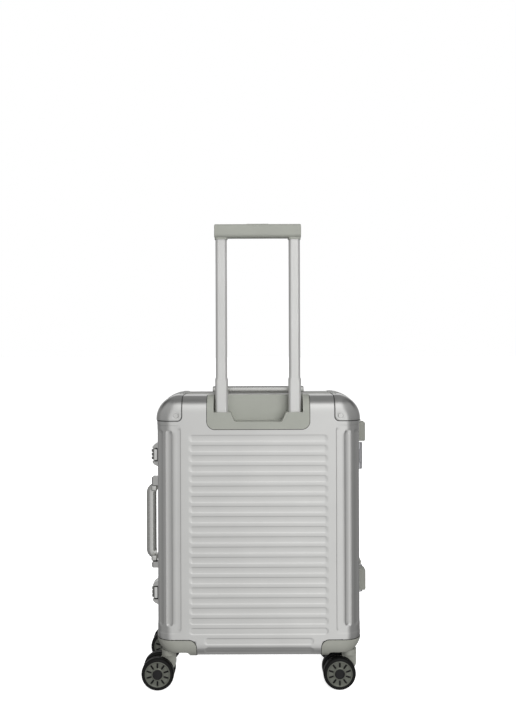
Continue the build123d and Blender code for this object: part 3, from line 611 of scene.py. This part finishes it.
def wheel(tag, letter, outward):
    """Tyre, hub and cap of one wheel, placed by its CAD tyre."""
    tyre_node, hub_node = f"{tag}_tyre_{letter}", f"{tag}_hub_{letter}"
    low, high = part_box(tyre_node)
    wide, radius = high.y - low.y, (high.z - low.z) / 2
    turn = Matrix.Translation((low + high) / 2) @ Matrix.Rotation(-math.pi / 2 * outward, 4, "X")
    tyre = lathe(tyre_node + "_tread", tyre_profile(wide / 2, radius), TYRE_RUBBER, 128)
    hub = add_piece(hub_node + "_disc", *hub_mesh(wide - 0.8 * MM), HUB_PLASTIC, 50)
    hub.data.materials.append(CAP_PLASTIC_AND_SLOT_SHADE)
    # painted shade: the faces inside the slots take the black cap material, standing for the shade down in
    # the slots
    for face in hub.data.polygons:
        spot = face.center
        if spot.z > 0 and in_slot(math.hypot(spot.x, spot.y), math.atan2(spot.y, spot.x)) < 0:
            face.material_index = 1  # dark inside the slots
    cap = lathe(hub_node + "_cap", cap_profile(wide / 2 - 0.2 * MM), CAP_PLASTIC_AND_SLOT_SHADE, 64)
    for piece, node in ((tyre, tyre_node), (hub, hub_node), (cap, hub_node)):
        piece.matrix_world = turn
        seat(piece, node)


# ------------------------------------------------------------------ side handle
GRIP_HALF_X, GRIP_HALF_Y, GRIP_TURN, GRIP_ROUND = 9.4 * MM, 8 * MM, 8.8 * MM, 0.8
ARM_TALL, PIN_R = 12 * MM, 2.4 * MM


def side_handle():
    """Tubular bar with turned-in ends, two arms and the pins they turn on."""
    low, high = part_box("side_handle_grip")
    bar_low, bar_high = low.z + 8 * MM, high.z - 10 * MM
    x, y = low.x + GRIP_HALF_X, high.y - GRIP_HALF_Y
    inner = x + GRIP_TURN
    path = [(px, pz - GRIP_HALF_X - GRIP_TURN)
            for px, pz in bend((inner, bar_high), GRIP_TURN, 90, 180, 12)]
    upper, lower = path[-1][1] - 2 * MM, bar_low + GRIP_HALF_X + GRIP_TURN + 2 * MM
    path += [(x, z) for z in np.linspace(upper, lower, 12)]
    path += [(px, pz + GRIP_HALF_X + GRIP_TURN)
             for px, pz in bend((inner, bar_low), GRIP_TURN, 180, 270, 12)]
    path = np.array(path)
    along = np.gradient(path, axis=0)
    along /= np.linalg.norm(along, axis=1)[:, None]
    turns = 40
    verts, faces = [], []
    for (px, pz), (ax, az) in zip(path, along):
        for k in range(turns):
            c, sn = math.cos(2 * math.pi * k / turns), math.sin(2 * math.pi * k / turns)
            out = GRIP_HALF_X * math.copysign(abs(c) ** GRIP_ROUND, c)
            ahead = GRIP_HALF_Y * math.copysign(abs(sn) ** GRIP_ROUND, sn)
            verts.append((px - az * out, y + ahead, pz + ax * out))
    for i in range(len(path) - 1):
        for k in range(turns):
            a, b = i * turns + k, i * turns + (k + 1) % turns
            faces.append((a, b, b + turns, a + turns))
    faces += [tuple(range(turns)), tuple(range(len(verts) - turns, len(verts)))]
    seat(add_piece("side_handle_bar", verts, faces, HANDLE_METAL, 50), "side_handle_grip")
    arm_low, arm_high = high.x - 11.5 * MM, high.x - 0.2 * MM
    pin_x, pin_y = high.x - 4.6 * MM, low.y + 4.8 * MM
    for end, (z0, z1, reach) in {"upper": (bar_high - ARM_TALL, bar_high - MM, high.z),
                                 "lower": (bar_low + MM, bar_low + ARM_TALL, low.z)}.items():
        arm = rounded_block(f"side_handle_{end}_arm", Vector((arm_low, low.y + 0.2 * MM, z0)),
                            Vector((arm_high, y, z1)), 2.6 * MM, HANDLE_METAL)
        seat(arm, "side_handle_grip")
        tip = abs(reach - (z0 + z1) / 2)
        profile = [(AXIS, 0), (PIN_R, 0), (PIN_R, tip - 0.5 * MM), (PIN_R - 0.5 * MM, tip), (AXIS, tip)]
        pin = lathe(f"side_handle_{end}_pin", profile, PIN_STEEL, 32)
        flip = Matrix.Rotation(math.pi if end == "lower" else 0, 4, "X")
        pin.matrix_world = Matrix.Translation((pin_x, pin_y, (z0 + z1) / 2)) @ flip
        seat(pin, "side_handle_grip")


def end_plate(which):
    """Light plate in a latch base's opening, behind its number wheels."""
    low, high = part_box(f"{which}_latch_dials")
    plate = rounded_block(f"{which}_latch_end_plate",
                          Vector((high.x - 6 * MM, low.y - 3.2 * MM, low.z - 0.8 * MM)),
                          Vector((high.x + 0.4 * MM, low.y - 0.6 * MM, high.z + 0.8 * MM)),
                          0.9 * MM, PLATE_METAL)
    seat(plate, "latch_bases")


# ------------------------------------------------------------------ lining
LINING_RIM, LINING_LIFT, CLOTH = 15.6 * MM, -3.1 * MM, 0.8 * MM
STRAP_HALF, STRAP_Z, STRAP_LIFT, STRAP_WALL = 15 * MM, (205 * MM, 385 * MM), 2.4 * MM, 1.3 * MM
BUCKLE_HALF, BUCKLE_DEEP = (27 * MM, 19 * MM), 7 * MM
TAB_HALF, TAB_IN = Vector((1 * MM, 12 * MM, 17 * MM)), 13 * MM
BINDING_OUT, BINDING_Y = (-4.7, -2.7), (15.2, 19.4)  # millimetres, as rim_sweep takes them
PIPING_R = 1.1 * MM


class Inside:
    """The inner face of one half's lining solid, seen from the middle of the open mouth."""

    def __init__(self, node, front):
        solid = frame["nodes"][node]
        self.front, self.eye = front, Vector((MID_X, 0, MID_Z))
        self.tree = BVHTree.FromPolygons([solid.matrix_world @ v.co for v in solid.data.vertices],
                                         [face.vertices[:] for face in solid.data.polygons])

    def spot(self, s, t, lift, level=False):
        """Point at s and t along the cloth, lift inside it; seen from the middle, or from its own height."""
        plain = Vector(case_points(np.array(s), np.array(t), LINING_LIFT, self.front))
        eye = Vector((MID_X, 0, MID_Z + t)) if level else self.eye
        way = (plain - eye).normalized()
        hit, normal, _, _ = self.tree.ray_cast(eye, way)
        if hit is None:
            return plain
        return hit - way * lift / max(abs(way.dot(normal)), 0.35)


def slack(s, t):
    """Soft waves of cloth that is held at its seams, strongest where the panel turns into the walls."""
    over = np.maximum(np.abs(s) - REACH_S, 0) + np.maximum(np.abs(t) - REACH_T, 0)
    wall = math.exp(-((over - 62 * MM) / (24 * MM)) ** 2)
    waves = math.sin(s * 61 + 2 * math.sin(t * 23))
    waves += 0.7 * math.sin(t * 74 + 1.5 * math.sin(s * 31) + 1)
    broad = math.sin(s * 17 + 0.6) * math.sin(t * 14 + 0.4)
    return (0.25 + 0.55 * wall) * MM * (1.2 + 0.6 * waves) + 0.5 * MM * (1 + broad)


def loop_spots(inside, over, lift, count=220):
    """Points round the skin at one distance from its flat middle."""
    half_s, half_t = REACH_S + over, REACH_T + over
    corners = [(half_s, -half_t), (half_s, half_t), (-half_s, half_t), (-half_s, -half_t)]
    spots = []
    for (s0, t0), (s1, t1) in zip(corners, corners[1:] + corners[:1]):
        for k in range(count // 4):
            f = k / (count // 4)
            spots.append(inside.spot(s0 + (s1 - s0) * f, t0 + (t1 - t0) * f, lift))
    return spots


def cord_ring(name, spots, radius, mat, turns=10):
    """Thin closed tube along points."""
    verts, faces, total = [], [], len(spots)
    for k, spot in enumerate(spots):
        along = (spots[(k + 1) % total] - spots[k - 1]).normalized()
        side = along.cross(Vector((0, 1, 0))).normalized()
        lift = side.cross(along)
        for j in range(turns):
            angle = 2 * math.pi * j / turns
            verts.append(spot + radius * (side * math.cos(angle) + lift * math.sin(angle)))
    for k in range(total):
        for j in range(turns):
            a, b = k * turns + j, k * turns + (j + 1) % turns
            n = ((k + 1) % total - k) * turns
            faces.append((a, b, b + n, a + n))
    return add_piece(name, verts, faces, mat, 60)


def lining(front):
    """Cloth tray of one half with its bound rim, corded piping and two packing straps with buckles."""
    depth = half_name(front)
    node, way = depth + "_lining", 1 if front else -1
    inside = Inside(node, front)
    reach = FLAT_R + ARC + DEPTH - EDGE - LINING_RIM
    across = np.linspace(-REACH_S - reach, REACH_S + reach, 137)
    up = np.linspace(-REACH_T - reach, REACH_T + reach, 163)

    def drape(s, t):
        """Cloth point: slack, but drawn flat under the straps."""
        free = 1
        for height in STRAP_Z:
            free -= 0.85 * math.exp(-((inside.spot(s, t, 0).z - height) / (26 * MM)) ** 2)
        return inside.spot(s, t, slack(s, t) * max(free, 0))

    verts = [drape(s, t) for t in up for s in across]
    cloth = add_piece(f"{depth}_lining_cloth", verts, grid_faces(len(up), len(across)), LINING_CLOTH, 70)
    cloth = seat(thicken(cloth, CLOTH, front), node)
    (out_0, out_1), (y_0, y_1) = BINDING_OUT, [way * y for y in BINDING_Y]
    binding = [(out_0, y_0), (out_1, y_0), (out_1, y_1), (out_0, y_1)]
    ring = loop_spots(inside, FLAT_R + ARC * 0.9, 1.6 * MM)
    pieces = [rim_sweep(f"{depth}_lining_binding", binding, BINDING_CLOTH),
              cord_ring(f"{depth}_lining_piping", ring, PIPING_R, BINDING_CLOTH)]
    end = REACH_S + FLAT_R + ARC + 22 * MM
    for which, height in zip(("lower", "upper"), STRAP_Z):
        run = np.linspace(-end, end, 121)
        rows = [height - MID_Z + d for d in np.linspace(-STRAP_HALF, STRAP_HALF, 5)]
        verts = [inside.spot(s, t, STRAP_LIFT, True) for t in rows for s in run]
        strap = add_piece(f"{depth}_{which}_strap", verts, grid_faces(len(rows), len(run)), STRAP_CLOTH, 60)
        pieces.append(thicken(strap, -STRAP_WALL, front))
        outer = inside.spot(0, height - MID_Z, STRAP_LIFT + STRAP_WALL, True).y
        near, far = sorted((outer, outer - way * BUCKLE_DEEP))
        half_x, half_z = BUCKLE_HALF
        pieces.append(rounded_block(f"{depth}_{which}_buckle",
                                    Vector((MID_X - half_x, near, height - half_z)),
                                    Vector((MID_X + half_x, far, height + half_z)), 3 * MM, BLACK_PLASTIC))
        for side, word in ((-1, "left"), (1, "right")):
            patch = inside.spot(side * (end - TAB_IN), height - MID_Z, STRAP_LIFT + 1.1 * MM, True)
            pieces.append(rounded_block(f"{depth}_{which}_tab_{word}", patch - TAB_HALF, patch + TAB_HALF,
                                        0.8 * MM, STRAP_CLOTH))
    for piece in pieces:
        seat(piece, node)


# ------------------------------------------------------------------ build
for front in (False, True):
    sheet_shell(front)
for front in (False, True):
    depth = half_name(front)
    for hand, word in ((-1, "left"), (1, "right")):
        guard(f"{depth}_{word}_guard_sheet", front, hand)
        # painted gap shade strips along the guards' and wheel housings' edges
        guard_gap_shade(f"{depth}_{word}_guard_gap_shade", front, hand)
        well_gap_shade(f"{depth}_{word}_well_gap_shade", front, hand)
    seat(rim_sweep(f"{depth}_frame_rail", rail(front), RAIL_METAL), f"{depth}_frame")
# painted gap shade round the trolley housing
pocket_gap_shade()
seal()

# nodes that keep their CAD shape and get round edges: node, width of the round in millimetres, material
SOFT = (
    ("trolley_housing", 0.7, HOUSING_PLASTIC), ("trolley_outer_tubes", 0.2, TUBE_METAL),
    ("trolley_foot_bracket", 0.8, BLACK_PLASTIC), ("back_wheel_housings", 0.8, WELL_PLASTIC),
    ("front_wheel_housings", 0.8, WELL_PLASTIC), ("back_side_feet", 0.6, FOOT_PLASTIC),
    ("front_side_feet", 0.6, FOOT_PLASTIC), ("back_hinge_leaves", 0.25, HINGE_METAL),
    ("front_hinge_leaves", 0.25, HINGE_METAL), ("latch_bases", 0.5, LATCH_METAL),
    ("latch_strikes", 0.3, LATCH_METAL), ("side_handle_brackets", 0.5, LATCH_METAL),
    ("top_handle_brackets", 0.5, LATCH_METAL), ("trolley_middle_tubes", 0.25, TUBE_METAL),
    ("trolley_inner_tubes", 0.25, TUBE_METAL), ("trolley_grip", 0.5, HOUSING_PLASTIC),
    ("release_button", 0.4, HOUSING_PLASTIC),
    ("top_handle_grip", 0.8, HANDLE_METAL), ("upper_latch_lever", 0.5, LATCH_METAL),
    ("lower_latch_lever", 0.5, LATCH_METAL), ("upper_latch_dials", 0.5, DIAL_METAL),
    ("lower_latch_dials", 0.5, DIAL_METAL), ("back_rivets", 0.5, RIVET_METAL),
    ("front_rivets", 0.5, RIVET_METAL),
)
side_handle()
for which in ("upper", "lower"):
    end_plate(which)
for front in (False, True):
    lining(front)
for node, width, mat in SOFT:
    softened(node, width * MM, mat)
# nodes that show as they are
PLAIN = {"hinge_pins": PIN_STEEL, "release_rods": PIN_STEEL}
for depth in ("back", "front"):
    for word in ("left", "right"):
        tag = f"{depth}_{word}"
        softened(tag + "_fork", 0.9 * MM, FORK_PLASTIC)
        PLAIN[tag + "_pins"] = PIN_STEEL
        wheel(tag, "a", -1)
        wheel(tag, "b", 1)
for node, mat in PLAIN.items():
    mesh = frame["nodes"][node].data
    mesh.materials.clear()
    mesh.materials.append(mat)


# ------------------------------------------------------------------ floor, light and camera
FLOOR_HALF, FLOOR_DROP, FLOOR_GLOW = 40, 0.0006, 0.8
CAMERA_BACK, CAMERA_HIGH, CAMERA_LENS, CAMERA_SHIFT, CAMERA_ROLL = 1.493, 0.6256, 41.82, -0.0168, 0.2
# brightness of the surround by direction: from left to right, and from below to above
AHEAD_ACROSS = ((-1, 0.39), (-0.44, 0.37), (-0.32, 0.82), (-0.05, 0.8),
                (0.14, 1.16), (0.3, 1.1), (0.42, 0.35), (1, 0.31))
AHEAD_UP = ((-1, 0.24), (-0.88, 0.36), (-0.68, 0.7), (-0.3, 0.78), (-0.1, 0.85),
            (0.3, 0.96), (0.75, 1.14), (0.9, 0.28), (1, 0.22))
BEHIND_ACROSS = ((-1, 0.3), (-0.6, 0.34), (-0.36, 1), (0.36, 1), (0.6, 0.34), (1, 0.3))
BEHIND_UP = ((-1, 0.3), (-0.5, 0.34), (-0.2, 0.7), (0.2, 0.85), (0.34, 0.8), (0.46, 0.26), (1, 0.24))
BEHIND_SHARE = ((-1, 0), (0.05, 0), (0.3, 1), (1, 1))  # how far the field behind takes over, along y


def floor():
    """Large pale floor."""
    size = FLOOR_HALF
    verts = [(-size, -size, 0), (size, -size, 0), (size, size, 0), (-size, size, 0)]
    mat = finish("floor_paint", (252, 252, 252), 0.85, grain=40, bump=0.0, mottle=0.004)
    shader = mat.node_tree.nodes["Principled BSDF"]
    shader.inputs["Emission Color"].default_value = (1, 1, 1, 1)
    shader.inputs["Emission Strength"].default_value = FLOOR_GLOW
    plane = add_piece("studio_floor", verts, [(0, 1, 2, 3)], mat)
    plane.location.z = -FLOOR_DROP
    plane.visible_glossy = plane.visible_diffuse = False


def area_light(name, spot, target, size, power):
    """Soft box that faces a point."""
    lamp = bpy.data.lights.new(name, "AREA")
    lamp.shape, lamp.size, lamp.size_y, lamp.energy = "RECTANGLE", size[0], size[1], power
    holder = bpy.data.objects.new(name, lamp)
    holder.location = spot
    holder.rotation_euler = (Vector(target) - Vector(spot)).to_track_quat("-Z", "Y").to_euler()
    holder.visible_glossy = False
    bpy.context.scene.collection.objects.link(holder)


def studio_world():
    """Studio surround: white to look at; a bright field ahead, an even one behind, darker above and aside."""
    world = bpy.data.worlds.new("studio")
    world.use_nodes = True
    nodes, links = world.node_tree.nodes, world.node_tree.links
    place = nodes.new("ShaderNodeTexCoord")
    parts = nodes.new("ShaderNodeSeparateXYZ")
    links.new(place.outputs["Generated"], parts.inputs["Vector"])

    def level(axis, stops):
        unit = nodes.new("ShaderNodeMapRange")
        unit.inputs["From Min"].default_value, unit.inputs["From Max"].default_value = -1, 1
        links.new(parts.outputs[axis], unit.inputs["Value"])
        ramp = nodes.new("ShaderNodeValToRGB")
        for spot, _ in stops[1:-1]:
            ramp.color_ramp.elements.new((spot + 1) / 2)
        for element, (spot, value) in zip(ramp.color_ramp.elements, stops):
            element.position, element.color = (spot + 1) / 2, (value, value, value, 1)
        links.new(unit.outputs["Result"], ramp.inputs["Fac"])
        return ramp.outputs["Color"]

    def mixed(kind, factor, first, second):
        mix = nodes.new("ShaderNodeMix")
        mix.data_type, mix.blend_type = "RGBA", kind
        sockets = mix.inputs["Factor"], mix.inputs[6], mix.inputs[7]
        for socket, value in zip(sockets, (factor, first, second)):
            if isinstance(value, bpy.types.NodeSocket):
                links.new(value, socket)
            else:
                socket.default_value = value
        return mix.outputs[2]

    ahead = mixed("MULTIPLY", 1, level("X", AHEAD_ACROSS), level("Z", AHEAD_UP))
    behind = mixed("MULTIPLY", 1, level("X", BEHIND_ACROSS), level("Z", BEHIND_UP))
    surround = mixed("MIX", level("Y", BEHIND_SHARE), ahead, behind)
    seen = nodes.new("ShaderNodeLightPath")
    shown = mixed("MIX", seen.outputs["Is Camera Ray"], surround, (1, 1, 1, 1))
    links.new(shown, nodes["Background"].inputs["Color"])
    bpy.context.scene.world = world


def camera():
    """Level camera on the trolley side, a little above the case's middle."""
    lens = bpy.data.cameras.new("camera")
    lens.sensor_width, lens.lens, lens.shift_y = 36, CAMERA_LENS, CAMERA_SHIFT
    holder = bpy.data.objects.new("camera", lens)
    holder.location = (MID_X, -DEPTH - CAMERA_BACK, CAMERA_HIGH)
    holder.rotation_euler = (math.radians(90), math.radians(CAMERA_ROLL), 0)
    bpy.context.scene.collection.objects.link(holder)
    bpy.context.scene.camera = holder


floor()
area_light("key", (0.9, -2.4, 1.1), (0, 0, 0.3), (1.8, 1.8), 44)
area_light("top", (0, 0.2, 2.8), (0, 0, 0.3), (2.4, 2.4), 14)
area_light("rear", (0.4, 2.6, 1.2), (0, 0, 0.35), (2.0, 1.8), 26)
studio_world()
camera()
bpy.context.scene.view_settings.view_transform = "Standard"
